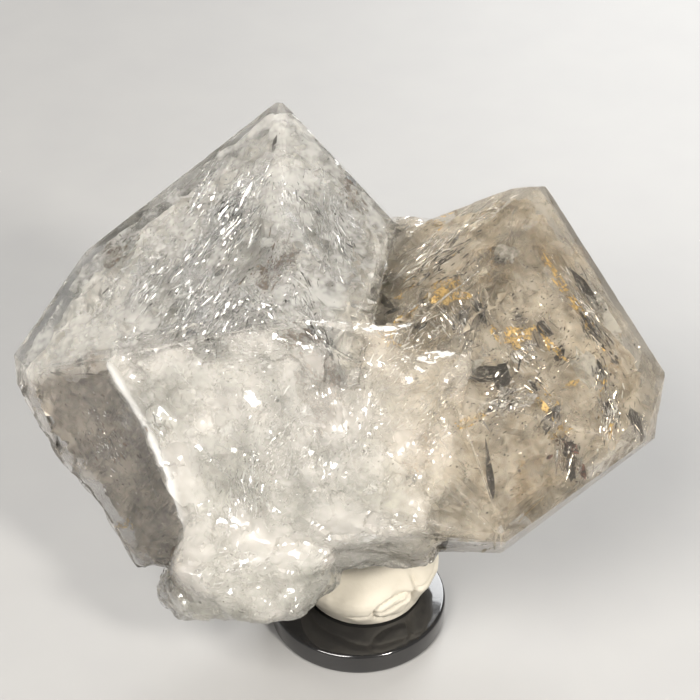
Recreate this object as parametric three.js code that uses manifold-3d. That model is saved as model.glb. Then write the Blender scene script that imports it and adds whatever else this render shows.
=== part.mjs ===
// Cabinet specimen: two clear quartz crystals grown into each other, broken along the foot, held by a pad of
// putty on a small black disc. Millimetres, +Z up, seen from -Y.
import * as THREE from "three";
import { mergeVertices } from "three/addons/utils/BufferGeometryUtils.js";
import Module from "manifold-3d";

const wasm = await Module();
wasm.setup();

// Holder
const DISC_RADIUS = 11.0;
const DISC_HEIGHT = 3.0;
const DISC_BEVEL = 0.45;
const DISC_SIDES = 60;
const PAD_RADIUS = 9.2;
const PAD_HEIGHT = 8.6;
const PAD_GAP = 0.3;
const PAD_MIDDLE = new THREE.Vector3(0.8, 1.6, 0);

// The specimen is described face on (x right, y up, z to the viewer) and then laid back on the pad by this
// much; the seat is the middle of the disc's top as it lies in the specimen's own frame
const LAID_BACK = 52;
const SEAT = new THREE.Vector3(0.05, -1.46, -12);

// Quartz: the slope of the pyramid faces, measured from the crystal's long axis
const PYRAMID_SLOPE = 51.8;

// Left crystal: its tip, the way its axis leans, and the middle from which its faces are measured
const LEFT_TIP = new THREE.Vector3(-9.25, 58.87, 3);
const LEFT_LEAN_SIDE = -5.3;
const LEFT_LEAN_FRONT = 5;
const LEFT_MIDDLE = new THREE.Vector3(-12.7, 31.5, 6);

// Right crystal
const RIGHT_MIDDLE = new THREE.Vector3(21.5, 26.8, 4);

// Broken surfaces: how coarse the facets are and how far they stand out
const FACET_SIZE = 5.2;
const GRAIN_SIZE = 1.9;
const WELD = 0.002;
const SHORTEST_EDGE = 0.04;
const BREAK = { tilt: 0.2, roughness: 0.3, step: 1.6 };

// One unit vector from the turn round the upright (0 right, 90 toward the viewer) and the rise above level
function facing(turn, rise) {
  const t = THREE.MathUtils.degToRad(turn);
  const r = THREE.MathUtils.degToRad(rise);
  return new THREE.Vector3(Math.cos(t) * Math.cos(r), Math.sin(r), Math.sin(t) * Math.cos(r));
}

// A flat face: its outward direction and how far it lies from the middle of the body it closes
function face(turn, rise, reach) {
  return { normal: facing(turn, rise), reach };
}

// Corner where three faces meet, or null when two of them are parallel
function cornerOf(a, b, c) {
  const across = new THREE.Vector3().crossVectors(b.normal, c.normal);
  const share = a.normal.dot(across);
  if (Math.abs(share) < 1e-6) return null;
  const corner = across.multiplyScalar(a.reach);
  corner.addScaledVector(new THREE.Vector3().crossVectors(c.normal, a.normal), b.reach);
  corner.addScaledVector(new THREE.Vector3().crossVectors(a.normal, b.normal), c.reach);
  return corner.divideScalar(share);
}

// Body closed by flat faces only, each reaching as far as its neighbours let it
function facetedBody(middle, faces) {
  const corners = [];
  for (let i = 0; i < faces.length; i++) {
    for (let j = i + 1; j < faces.length; j++) {
      for (let k = j + 1; k < faces.length; k++) {
        const corner = cornerOf(faces[i], faces[j], faces[k]);
        if (corner && faces.every((f) => f.normal.dot(corner) < f.reach + 1e-6)) {
          if (!corners.some((other) => other.distanceTo(corner) < 1e-4)) corners.push(corner);
        }
      }
    }
  }
  const triangles = [];
  for (const f of faces) {
    const rim = corners.map((corner, index) => ({ corner, index }));
    const on = rim.filter((r) => Math.abs(f.normal.dot(r.corner) - f.reach) < 1e-4);
    if (on.length < 3) continue;
    const centre = new THREE.Vector3();
    on.forEach((r) => centre.addScaledVector(r.corner, 1 / on.length));
    const across = on[0].corner.clone().sub(centre).normalize();
    const up = new THREE.Vector3().crossVectors(f.normal, across);
    const angle = ({ corner }) => {
      const from = corner.clone().sub(centre);
      return Math.atan2(from.dot(up), from.dot(across));
    };
    on.sort((p, q) => angle(p) - angle(q));
    for (let i = 1; i + 1 < on.length; i++) triangles.push([on[0].index, on[i].index, on[i + 1].index]);
  }
  return { corners: corners.map((corner) => corner.add(middle)), triangles };
}

// Every edge longer than the limit is halved, over and over, so that neighbours stay joined
function refined(body, longest) {
  let { corners, triangles } = body;
  corners = corners.map((corner) => corner.clone());
  for (;;) {
    const halves = new Map();
    const half = (a, b) => {
      const key = a < b ? `${a} ${b}` : `${b} ${a}`;
      if (corners[a].distanceTo(corners[b]) <= longest) return -1;
      if (!halves.has(key)) {
        halves.set(key, corners.length);
        corners.push(corners[a].clone().lerp(corners[b], 0.5));
      }
      return halves.get(key);
    };
    const next = [];
    for (const [a, b, c] of triangles) splitTriangle(a, b, c, half, corners, next);
    triangles = next;
    if (halves.size === 0) return { corners, triangles };
  }
}

// One triangle cut at those of its edges that were halved
function splitTriangle(a, b, c, half, corners, out) {
  const ab = half(a, b);
  const bc = half(b, c);
  const ca = half(c, a);
  const cuts = (ab >= 0) + (bc >= 0) + (ca >= 0);
  if (cuts === 0) out.push([a, b, c]);
  if (cuts === 3) out.push([a, ab, ca], [ab, b, bc], [ca, bc, c], [ab, bc, ca]);
  if (cuts === 1) {
    if (ab >= 0) out.push([a, ab, c], [ab, b, c]);
    if (bc >= 0) out.push([b, bc, a], [bc, c, a]);
    if (ca >= 0) out.push([c, ca, b], [ca, a, b]);
  }
  if (cuts === 2) {
    const turned = ab < 0 ? [b, c, a, bc, ca] : bc < 0 ? [c, a, b, ca, ab] : [a, b, c, ab, bc];
    const [p, q, r, pq, qr] = turned;
    out.push([pq, q, qr]);
    const shortWay = corners[p].distanceTo(corners[qr]) < corners[pq].distanceTo(corners[r]);
    if (shortWay) out.push([p, pq, qr], [p, qr, r]);
    else out.push([p, pq, r], [pq, qr, r]);
  }
}

// Repeatable random value from 0 to 1 for one cell of a grid
function cellValue(x, y, z, seed) {
  let h = Math.imul(x, 374761393) ^ Math.imul(y, 668265263);
  h ^= Math.imul(z, 1274126177) ^ Math.imul(seed, 974634777);
  h = Math.imul(h ^ (h >>> 13), 1103515245);
  h = Math.imul(h ^ (h >>> 16), 747796405);
  return ((h ^ (h >>> 15)) >>> 0) / 4294967296;
}

// Smooth unevenness from -1 to 1, one bump about as long as the size
function grain(point, size, seed) {
  const at = [point.x / size, point.y / size, point.z / size];
  const base = at.map(Math.floor);
  const part = at.map((v, i) => (v - base[i]) ** 2 * (3 - 2 * (v - base[i])));
  let sum = 0;
  for (let corner = 0; corner < 8; corner++) {
    const step = [corner & 1, (corner >> 1) & 1, corner >> 2];
    const weight = step.reduce((w, s, i) => w * (s ? part[i] : 1 - part[i]), 1);
    sum += weight * cellValue(base[0] + step[0], base[1] + step[1], base[2] + step[2], seed);
  }
  return 2 * sum - 1;
}

// Height of a broken surface made of small flat facets that lie at slants of their own, with ledges between
function facetHeight(point, size, seed) {
  const base = [point.x, point.y, point.z].map((v) => Math.floor(v / size));
  let nearest = Infinity;
  let height = 0;
  for (let i = 0; i < 27; i++) {
    const cell = base.map((v, axis) => v + (Math.floor(i / 3 ** axis) % 3) - 1);
    const own = [0, 1, 2].map((axis) => (cell[axis] + cellValue(...cell, seed + axis)) * size);
    const away = new THREE.Vector3(point.x - own[0], point.y - own[1], point.z - own[2]);
    if (away.lengthSq() >= nearest) continue;
    nearest = away.lengthSq();
    const slant = [3, 4, 5].map((k) => 2 * cellValue(...cell, seed + k) - 1);
    height = away.dot(new THREE.Vector3(...slant)) + size * 0.35 * (cellValue(...cell, seed + 6) - 0.5);
  }
  return height;
}

// Outward direction at every corner, from the triangles round it
function outwardAt(body) {
  const out = body.corners.map(() => new THREE.Vector3());
  for (const [a, b, c] of body.triangles) {
    const one = body.corners[b].clone().sub(body.corners[a]);
    const two = body.corners[c].clone().sub(body.corners[a]);
    const across = one.cross(two);
    [a, b, c].forEach((corner) => out[corner].add(across));
  }
  return out.map((v) => v.normalize());
}

// Flat-faced lump with its whole surface broken up into facets, ledges and grain
function brokenLump(middle, faces, seed, breaking = BREAK) {
  const body = refined(facetedBody(middle, faces), breaking.step);
  const outward = outwardAt(body);
  body.corners.forEach((corner, i) => {
    const coarse = facetHeight(corner, FACET_SIZE, seed) * breaking.tilt;
    const fine = grain(corner, GRAIN_SIZE, seed + 11) * breaking.roughness;
    outward[i].multiplyScalar(coarse + fine);
  });
  body.corners.forEach((corner, i) => corner.add(outward[i]));
  return body;
}

// Solid for adding and taking away
function solidOf(body) {
  const vertProperties = new Float32Array(body.corners.flatMap((corner) => [corner.x, corner.y, corner.z]));
  const triVerts = new Uint32Array(body.triangles.flat());
  return new wasm.Manifold(new wasm.Mesh({ numProp: 3, vertProperties, triVerts }));
}

// Corners and triangles of a solid
function bodyOf(solid) {
  const mesh = solid.getMesh();
  const corners = [];
  for (let i = 0; i < mesh.vertProperties.length; i += mesh.numProp) {
    corners.push(new THREE.Vector3(...mesh.vertProperties.slice(i, i + 3)));
  }
  const triangles = [];
  for (let i = 0; i < mesh.triVerts.length; i += 3) triangles.push([...mesh.triVerts.slice(i, i + 3)]);
  return { corners, triangles };
}

function geometryOf(body) {
  const geometry = new THREE.BufferGeometry();
  const places = body.corners.flatMap((corner) => [corner.x, corner.y, corner.z]);
  geometry.setAttribute("position", new THREE.Float32BufferAttribute(places, 3));
  geometry.setIndex(body.triangles.flat());
  const merged = mergeVertices(geometry, 1e-4);
  merged.computeVertexNormals();
  return merged;
}

// Six pyramid faces of one end and the six prism faces between, as quartz sets them round its axis
function quartzFaces(tip, middle, leanSide, leanFront, settings) {
  const side = THREE.MathUtils.degToRad(leanSide);
  const front = THREE.MathUtils.degToRad(leanFront);
  const axis = new THREE.Vector3(
    Math.sin(side) * Math.cos(front),
    Math.cos(side) * Math.cos(front),
    Math.sin(front),
  );
  const right = new THREE.Vector3(Math.cos(side), -Math.sin(side), 0);
  const near = new THREE.Vector3().crossVectors(right, axis);
  const slope = THREE.MathUtils.degToRad(PYRAMID_SLOPE);
  return settings.map(({ kind, azimuth, set }) => {
    const a = THREE.MathUtils.degToRad(azimuth);
    const flat = right.clone().multiplyScalar(Math.cos(a)).addScaledVector(near, Math.sin(a));
    const rise = kind === "upper" ? Math.cos(slope) : -Math.cos(slope);
    const sloping = flat.clone().multiplyScalar(Math.sin(slope)).addScaledVector(axis, rise);
    const normal = kind === "prism" ? flat : sloping;
    const start = kind === "lower" ? tip.clone().addScaledVector(axis, -set) : tip;
    const beyond = kind === "lower" ? 0 : set;
    return { normal, reach: normal.dot(start.clone().sub(middle)) + beyond };
  });
}

function leftCrystal() {
  const settings = [
    { kind: "upper", azimuth: 2, set: 0 },
    { kind: "upper", azimuth: 62, set: 0 },
    { kind: "upper", azimuth: 122, set: 0 },
    { kind: "upper", azimuth: 182, set: 10.9 },
    { kind: "upper", azimuth: 242, set: 0 },
    { kind: "upper", azimuth: 302, set: 0 },
    { kind: "prism", azimuth: 182, set: 34.2 },
    { kind: "prism", azimuth: 242, set: 12.5 },
    { kind: "prism", azimuth: 302, set: 11.5 },
    { kind: "lower", azimuth: 2, set: 62 },
    { kind: "lower", azimuth: 62, set: 60 },
    { kind: "lower", azimuth: 242, set: 70 },
    { kind: "lower", azimuth: 302, set: 60 },
  ];
  const faces = quartzFaces(LEFT_TIP, LEFT_MIDDLE, LEFT_LEAN_SIDE, LEFT_LEAN_FRONT, settings);
  const smokyLowerFace = face(112, -27.1, 12.1);
  const cornerFacet = face(145.5, -7, 22.25);
  const wornTip = face(90, 87, 26.8);
  const foot = face(90, -84, 28);
  const valleySide = face(0, -13.8, 13.6);
  faces.push(smokyLowerFace, cornerFacet, wornTip, foot, valleySide);
  return facetedBody(LEFT_MIDDLE, faces);
}

function rightCrystal() {
  const front = face(68.2, 25.5, 8.75);
  const lowerFront = face(76, -0.4, 12.85);
  const leftFront = face(96.4, -8.2, 17.35);
  const edgeStripUpper = face(39.2, 20, 13.0);
  const edgeStripLower = face(22.2, -8.3, 14.75);
  const rightUpper = face(-11.8, 27.8, 11.0);
  const rightLower = face(-9.9, -9.9, 12.65);
  const underFront = face(18, -52, 14.6);
  const underBack = face(-0.5, -52.7, 13.9);
  const backUpper = face(-83.7, 15.4, 14.1);
  const backLower = face(-93.2, -21.2, 14.8);
  const shoulder = face(180, 69.4, 21.25);
  const flatTip = face(116.6, 83.6, 21.5);
  const grownIn = face(180, 10.1, 23.6);
  const foot = face(116.6, -77.4, 21.8);
  return facetedBody(RIGHT_MIDDLE, [
    front, lowerFront, leftFront, edgeStripUpper, edgeStripLower, rightUpper, rightLower, underFront,
    underBack, backUpper, backLower, shoulder, flatTip, grownIn, foot,
  ]);
}

// Low growth steps that sink the right crystal's upper left shoulder, next to the left crystal: their floors
// fan out from one line near the flat tip, each a little deeper than the last
function growthSteps() {
  const count = 8;
  const tread = 1.3;
  const firstDip = 9;
  const dip = 5;
  const away = facing(180, 51);
  const hinge = new THREE.Vector3(17.6, 41.4, 8.5);
  const hingeLine = new THREE.Vector3(1, 6.5, -3.7).normalize();
  const steps = [];
  for (let i = 0; i < count; i++) {
    const start = hinge.clone().addScaledVector(away, i * tread);
    const angle = THREE.MathUtils.degToRad(firstDip + i * dip);
    const floor = facing(68.2, 25.5).applyAxisAngle(hingeLine, -angle).negate();
    steps.push(solidOf(facetedBody(start, [
      { normal: away.clone().negate(), reach: 0 },
      { normal: floor, reach: floor.dot(hinge) - floor.dot(start) },
      face(0, 39, 16),
      face(180, 51, 30),
      face(90, 0, 34),
      face(180, -39, 40),
    ])));
  }
  return steps;
}

// Low block of the same growth that closes the notch between the two crystals from behind
function rearShoulder() {
  return facetedBody(new THREE.Vector3(7, 38, -3), [
    face(90, 88, 7.3),
    face(100, 20, 4.4),
    face(-80, -10, 4.6),
    face(180, 0, 7),
    face(20, 60, 6.6),
    face(0, -20, 9),
    face(90, -90, 9),
  ]);
}

// Milky broken mass between and below the two crystals
function brokenMass() {
  const middle = new THREE.Vector3(-1, 17, 8);
  return brokenLump(middle, [
    face(114, -16, 11.6),
    face(86, -12.5, 11.4),
    face(88, -62, 11.6),
    face(90, 90, 14.6),
    face(176, -24, 20.8),
    face(0, -8, 11.5),
    face(90, -90, 13.3),
    face(123, 31.1, 21.5),
    face(67, 36, 17.9),
    face(68.2, 25.5, 17.4),
    face(-90, 0, 8),
  ], 3);
}

// Knobbly glassy piece low on the left, lighter and rougher than the rest
function footKnob() {
  const middle = new THREE.Vector3(-12.3, 3.6, 8.5);
  return brokenLump(middle, [
    face(95, 40, 6.6),
    face(80, -12, 6.6),
    face(120, -50, 6.2),
    face(176, 22, 9.2),
    face(150, -42, 7.6),
    face(6, 8, 9.6),
    face(10, -50, 7.4),
    face(90, -84, 5.6),
    face(-70, -30, 7),
    face(-90, 20, 7),
    face(-120, 50, 8),
  ], 9, { tilt: 0.2, roughness: 0.36, step: 1.5 });
}

// What has broken away from the left crystal's lower left edge
function missingLeft() {
  const middle = new THREE.Vector3(-47, 10, 0);
  return brokenLump(middle, [
    face(-10.2, 33.6, 13.1),
    face(180, 0, 16),
    face(90, 0, 24),
    face(-90, 0, 24),
    face(90, 90, 26),
    face(90, -90, 26),
  ], 21, { tilt: 0.14, roughness: 0.26, step: 2 });
}

// What has broken away from under the crystals, level with the knob's root
function missingUnderside() {
  const middle = new THREE.Vector3(-2, -5, -2);
  return brokenLump(middle, [
    face(90, 87, 8.1),
    face(90, -90, 8),
    face(90, 0, 14),
    face(-90, 0, 24),
    face(180, 0, 34),
    face(0, 0, 40),
  ], 33, { tilt: 0.14, roughness: 0.26, step: 2.2 });
}

// What has broken away under the right crystal, where the underside climbs toward its point
function missingRightUnderside() {
  const middle = new THREE.Vector3(15, -4, 2);
  return brokenLump(middle, [
    face(128, 72, 9.7),
    face(90, -90, 6),
    face(90, 0, 24),
    face(-90, 0, 24),
    face(180, 0, 9),
    face(0, 0, 24),
  ], 35, { tilt: 0.14, roughness: 0.26, step: 2.2 });
}

// The heel that was pressed flat: level once the specimen is laid back on the pad
function missingHeel() {
  const level = 90 - LAID_BACK;
  return facetedBody(SEAT, [
    face(90, level, 3.9),
    face(-90, -level, 14),
    face(-90, 90 - level, 40),
    face(90, level - 90, 30),
    face(180, 0, 46),
    face(0, 0, 46),
  ]);
}

function layBack(body) {
  const turn = new THREE.Matrix4().makeRotationX(THREE.MathUtils.degToRad(LAID_BACK));
  const lift = new THREE.Vector3(0, 0, DISC_HEIGHT);
  body.corners.forEach((corner) => corner.sub(SEAT).applyMatrix4(turn).add(lift));
  return body;
}

// Corners that fall together are made one, and triangles that vanish or lie back to back are dropped
function closedUp(body) {
  const places = new Map();
  const corners = [];
  const at = body.corners.map((corner) => {
    const key = corner.toArray().map((v) => Math.round(v / WELD)).join(" ");
    if (!places.has(key)) places.set(key, corners.push(corner) - 1);
    return places.get(key);
  });
  const once = new Map();
  for (const triangle of body.triangles) {
    const [a, b, c] = triangle.map((corner) => at[corner]);
    if (a === b || b === c || c === a) continue;
    const key = [a, b, c].sort((p, q) => p - q).join(" ");
    if (once.has(key)) once.delete(key);
    else once.set(key, [a, b, c]);
  }
  return { corners, triangles: [...once.values()] };
}

// Edges too short to matter are drawn together, wherever that leaves the surface closed
function withoutSlivers(body) {
  let triangles = body.triangles;
  for (;;) {
    const near = body.corners.map(() => new Set());
    for (const [a, b, c] of triangles) {
      near[a].add(b).add(c);
      near[b].add(a).add(c);
      near[c].add(a).add(b);
    }
    const moved = new Map();
    const touched = new Set();
    near.forEach((others, a) => {
      for (const b of others) {
        if (b < a || touched.has(a) || touched.has(b)) continue;
        if (body.corners[a].distanceTo(body.corners[b]) > SHORTEST_EDGE) continue;
        const shared = [...others].filter((other) => near[b].has(other));
        if (shared.length !== 2 || near[shared[0]].size < 4 || near[shared[1]].size < 4) continue;
        moved.set(b, a);
        [a, b, ...others, ...near[b]].forEach((corner) => touched.add(corner));
      }
    });
    if (moved.size === 0) return { corners: body.corners, triangles };
    triangles = triangles.map((triangle) => triangle.map((corner) => moved.get(corner) ?? corner));
    triangles = triangles.filter(([a, b, c]) => a !== b && b !== c && c !== a);
  }
}

// The largest body joined edge to edge; crumbs cut loose by the breaking are left out
function largestPiece(body) {
  const owner = body.triangles.map((_, i) => i);
  const find = (i) => {
    while (owner[i] !== i) {
      owner[i] = owner[owner[i]];
      i = owner[i];
    }
    return i;
  };
  const beside = new Map();
  body.triangles.forEach(([a, b, c], i) => {
    for (const [p, q] of [[a, b], [b, c], [c, a]]) {
      const key = p < q ? `${p} ${q}` : `${q} ${p}`;
      if (!beside.has(key)) beside.set(key, []);
      beside.get(key).push(i);
    }
  });
  for (const pair of beside.values()) if (pair.length === 2) owner[find(pair[0])] = find(pair[1]);
  const sizes = new Map();
  body.triangles.forEach((_, i) => sizes.set(find(i), (sizes.get(find(i)) ?? 0) + 1));
  const main = [...sizes.entries()].sort((p, q) => q[1] - p[1])[0][0];
  return { corners: body.corners, triangles: body.triangles.filter((_, i) => find(i) === main) };
}

function specimenBody() {
  let right = solidOf(rightCrystal());
  for (const step of growthSteps()) right = right.subtract(step);
  let whole = solidOf(leftCrystal()).subtract(solidOf(missingLeft()));
  whole = whole.add(right).add(solidOf(rearShoulder())).add(solidOf(brokenMass()));
  whole = whole.subtract(solidOf(missingUnderside())).subtract(solidOf(missingRightUnderside()));
  whole = whole.subtract(solidOf(missingHeel()));
  whole = whole.add(solidOf(footKnob()));
  return layBack(withoutSlivers(largestPiece(closedUp(bodyOf(whole)))));
}

// Closed body turned round the upright from a profile of radius and height, lowest point first
function turnedBody(profile, sides, shape = (point) => point) {
  const corners = [new THREE.Vector3(0, 0, profile[0][1])];
  for (const [radius, height] of profile) {
    for (let i = 0; i < sides; i++) {
      const a = (2 * Math.PI * i) / sides;
      corners.push(new THREE.Vector3(radius * Math.cos(a), radius * Math.sin(a), height));
    }
  }
  const last = corners.push(new THREE.Vector3(0, 0, profile[profile.length - 1][1])) - 1;
  const at = (row, i) => 1 + row * sides + (i % sides);
  const triangles = [];
  for (let i = 0; i < sides; i++) {
    triangles.push([0, at(0, i + 1), at(0, i)]);
    for (let row = 0; row + 1 < profile.length; row++) {
      triangles.push([at(row, i), at(row, i + 1), at(row + 1, i + 1)]);
      triangles.push([at(row, i), at(row + 1, i + 1), at(row + 1, i)]);
    }
    triangles.push([last, at(profile.length - 1, i), at(profile.length - 1, i + 1)]);
  }
  return { corners: corners.map(shape), triangles };
}

function standDisc() {
  const rim = DISC_RADIUS - DISC_BEVEL;
  return turnedBody([
    [rim * 0.6, 0],
    [rim, 0],
    [DISC_RADIUS, DISC_BEVEL],
    [DISC_RADIUS, DISC_HEIGHT - DISC_BEVEL],
    [rim, DISC_HEIGHT],
    [rim * 0.6, DISC_HEIGHT],
  ], DISC_SIDES);
}

// Squashed pad: a foot, a bulging waist and a spread lip, pushed into a few soft folds by hand
function puttyPad(specimen) {
  const rows = 12;
  const profile = [[PAD_RADIUS * 0.45, 0]];
  for (let i = 0; i <= rows; i++) {
    const t = i / rows;
    const waist = 0.8 + 0.22 * Math.sin(Math.min(1, t * 1.6) * Math.PI * 0.5);
    const dome = Math.sqrt(1 - (Math.max(0, t - 0.45) / 0.6) ** 2);
    profile.push([PAD_RADIUS * waist * dome, PAD_HEIGHT * t]);
  }
  const lump = turnedBody(profile, 48, (point) => {
    const share = Math.min(1, point.z / PAD_HEIGHT);
    const angle = Math.atan2(point.y, point.x);
    const fold = 0.55 * Math.sin(3 * angle + 2.2 * share) + 0.35 * Math.sin(7 * angle - 1.5 * share);
    const reach = Math.hypot(point.x, point.y) / PAD_RADIUS;
    const uneven = 0.5 * grain(point, 4.5, 51) + 0.2 * grain(point, 1.8, 52);
    const spread = 1 + ((fold + uneven) * share * reach) / PAD_RADIUS;
    const lift = 0.3 * grain(point, 3.1, 53) * share;
    const place = new THREE.Vector3(point.x * spread, point.y * spread, point.z + lift);
    return place.add(PAD_MIDDLE).setZ(place.z + DISC_HEIGHT + PAD_GAP);
  });
  const down = specimen.corners.map((corner) => corner.clone().setZ(corner.z - PAD_GAP));
  const pressed = solidOf({ corners: down, triangles: specimen.triangles });
  const pad = solidOf(lump).subtract(solidOf(specimen)).subtract(pressed);
  return withoutSlivers(largestPiece(closedUp(bodyOf(pad))));
}

function crystalLook() {
  return new THREE.MeshStandardMaterial({ color: 0xd9d5cb, roughness: 0.08, metalness: 0 });
}

function puttyLook() {
  return new THREE.MeshStandardMaterial({ color: 0xe6dfd0, roughness: 0.85, metalness: 0 });
}

function discLook() {
  return new THREE.MeshStandardMaterial({ color: 0x0b0b0c, roughness: 0.12, metalness: 0 });
}

function named(name, body, material) {
  const mesh = new THREE.Mesh(geometryOf(body), material);
  mesh.name = name;
  return mesh;
}

function quartzSpecimen() {
  const group = new THREE.Group();
  group.name = "quartz_specimen";
  const specimen = specimenBody();
  group.add(named("crystal_cluster", specimen, crystalLook()));
  group.add(named("putty_pad", puttyPad(specimen), puttyLook()));
  group.add(named("stand_disc", standDisc(), discLook()));
  return group;
}

export default quartzSpecimen();
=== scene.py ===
"""A cabinet specimen of two clear quartz crystals grown together, on its putty pad and black disc.
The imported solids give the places; this file gives every surface its finish. Metres, +Z up."""

import math

import bpy
import numpy as np
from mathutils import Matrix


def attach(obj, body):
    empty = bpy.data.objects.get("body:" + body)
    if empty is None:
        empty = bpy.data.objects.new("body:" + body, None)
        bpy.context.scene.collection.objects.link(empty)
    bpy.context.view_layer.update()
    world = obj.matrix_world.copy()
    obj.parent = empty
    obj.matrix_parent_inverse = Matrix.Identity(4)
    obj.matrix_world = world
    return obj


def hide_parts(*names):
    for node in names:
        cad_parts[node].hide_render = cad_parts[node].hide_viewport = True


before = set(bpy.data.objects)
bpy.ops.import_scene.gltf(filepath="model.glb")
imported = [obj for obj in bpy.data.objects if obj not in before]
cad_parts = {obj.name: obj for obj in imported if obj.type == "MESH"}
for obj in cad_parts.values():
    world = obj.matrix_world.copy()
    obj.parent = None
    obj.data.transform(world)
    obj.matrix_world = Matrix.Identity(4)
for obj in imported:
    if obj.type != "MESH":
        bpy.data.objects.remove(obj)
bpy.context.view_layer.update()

# Studio: a pale table top, one big soft lamp high in front, a second behind for light through the quartz,
# and a small hard one for sparkle.
MM = 0.001
EYE = np.array([-0.96, 29.16, 240.0])
LAID_BACK = math.radians(52)
SEAT = np.array([0.05, -1.46, -12.0])
DISC_TOP = 3


def standing(points):
    """Millimetres in the face-on frame (x right, y up, z to the viewer) to metres on the table: the seat is
    taken off, the points turn back about x by the lean, and they rise by the disc's thickness."""
    from_seat = np.asarray(points, float) - SEAT
    x, y, z = from_seat[..., 0], from_seat[..., 1], from_seat[..., 2]
    c, s = math.cos(LAID_BACK), math.sin(LAID_BACK)
    return np.stack([x, y * c - z * s, DISC_TOP + y * s + z * c], axis=-1) * MM


def face_on(points):
    """The way back: metres on the table to millimetres in the face-on frame."""
    x, y, z = (np.asarray(points, float) / MM).T
    z = z - DISC_TOP
    c, s = math.cos(LAID_BACK), math.sin(LAID_BACK)
    return np.stack([x, y * c + z * s, -y * s + z * c], axis=-1) + SEAT


scene = bpy.context.scene
camera = bpy.data.objects.new("camera", bpy.data.cameras.new("camera"))
scene.collection.objects.link(camera)
camera.location = standing(EYE)
camera.rotation_euler = (LAID_BACK, 0, 0)
camera.data.lens = 102.9
camera.data.sensor_width = 36
camera.data.clip_start = 0.01
bpy.context.scene.camera = camera


def lamp(name, place, target, size, watts, colour):
    """A square soft lamp at place that faces target."""
    light = bpy.data.lights.new(name, "AREA")
    light.size = size
    light.energy = watts
    light.color = colour
    holder = bpy.data.objects.new(name, light)
    scene.collection.objects.link(holder)
    way = np.asarray(place, float) - np.asarray(target, float)
    flat = math.hypot(way[0], way[1])
    holder.location = place
    holder.rotation_euler = (math.atan2(flat, way[2]), 0, math.atan2(way[0], -way[1]))


middle = (0, 0.005, 0.03)
lamp("key_lamp", (-0.20, -0.30, 0.42), middle, 0.26, 4.8, (1, 0.97, 0.93))
lamp("back_lamp", (0.16, 0.42, 0.26), middle, 0.30, 2.6, (0.98, 0.99, 1))
lamp("sparkle_lamp", (0.24, -0.32, 0.36), middle, 0.07, 2.4, (1, 0.96, 0.9))


class Reading:
    """One output of a finish's nodes. Arithmetic on it adds the Math node that works it out."""

    def __init__(self, finish, socket):
        self.finish = finish
        self.socket = socket

    def maths(self, operation, *values):
        inputs = dict(enumerate(values))
        return self.finish.add("ShaderNodeMath", {"operation": operation}, inputs)

    def __add__(self, other):
        return self.maths("ADD", self, other)

    def __sub__(self, other):
        return self.maths("SUBTRACT", self, other)

    def __rsub__(self, other):
        return self.maths("SUBTRACT", other, self)

    def __mul__(self, other):
        return self.maths("MULTIPLY", self, other)

    __radd__ = __add__
    __rmul__ = __mul__

    def step(self, low, high):
        """0 below low, 1 above high, and a smooth climb between."""
        inputs = {"Value": self, "From Min": low, "From Max": high}
        return self.finish.add("ShaderNodeMapRange", {"interpolation_type": "SMOOTHSTEP"}, inputs)

    def capped(self):
        """Held between 0 and 1."""
        return self.finish.add("ShaderNodeClamp", {}, {"Value": self})


class Finish:
    """A material's node tree, filled by add()."""

    def __init__(self, name):
        self.material = bpy.data.materials.new(name)
        self.material.use_nodes = True
        self.tree = self.material.node_tree
        self.tree.nodes.clear()

    def add(self, kind, settings, inputs, output=0):
        """A node of that kind: settings first, then the values or links of its inputs."""
        node = self.tree.nodes.new(kind)
        for name, value in settings.items():
            setattr(node, name, value)
        for name, value in inputs.items():
            if isinstance(value, Reading):
                self.tree.links.new(value.socket, node.inputs[name])
            else:
                node.inputs[name].default_value = value
        return Reading(self, node.outputs[output])

    def noise(self, scale, detail, roughness=0.55, distortion=0.0):
        """Fractal noise on object coordinates in metres, 0 to 1."""
        place = self.add("ShaderNodeTexCoord", {}, {}, output=3)
        return self.add("ShaderNodeTexNoise", {}, {
            "Vector": place, "Scale": scale, "Detail": detail,
            "Roughness": roughness, "Distortion": distortion,
        })

    def attribute(self, name):
        """A value that the mesh carries at its corners."""
        return self.add("ShaderNodeAttribute", {"attribute_name": name}, {}, output=2)

    def blend(self, factor, first, second):
        """A colour between two, colours given as 3 numbers or readings."""
        def colour(value):
            return value if isinstance(value, Reading) else (*value, 1)
        return self.add("ShaderNodeMix", {"data_type": "RGBA"}, {
            "Factor": factor, 6: colour(first), 7: colour(second),
        }, output=2)

    def bump(self, height, strength, distance):
        """A normal leaned by a height."""
        return self.add("ShaderNodeBump", {}, {"Height": height, "Strength": strength, "Distance": distance})

    def surface(self, **inputs):
        """A Principled shader; underscores in the names stand for spaces."""
        named = {name.replace("_", " "): value for name, value in inputs.items()}
        return self.add("ShaderNodeBsdfPrincipled", {}, named)

    def done(self, surface, volume=None):
        """Joins the shader to the output and gives the material."""
        out = self.tree.nodes.new("ShaderNodeOutputMaterial")
        self.tree.links.new(surface.socket, out.inputs["Surface"])
        if volume:
            self.tree.links.new(volume.socket, out.inputs["Volume"])
        return self.material


def meshed(name, points, faces, material, smooth=None):
    """A mesh object of these points in metres and faces, smooth up to that many degrees if given."""
    mesh = bpy.data.meshes.new(name)
    mesh.from_pydata(np.asarray(points).tolist(), [], [list(face) for face in faces])
    mesh.validate()
    mesh.materials.append(material)
    if smooth is not None:
        mesh.polygons.foreach_set("use_smooth", np.ones(len(mesh.polygons), bool))
        mesh.set_sharp_from_angle(angle=math.radians(smooth))
    mesh.update()
    piece = bpy.data.objects.new(name, mesh)
    scene.collection.objects.link(piece)
    return piece


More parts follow.
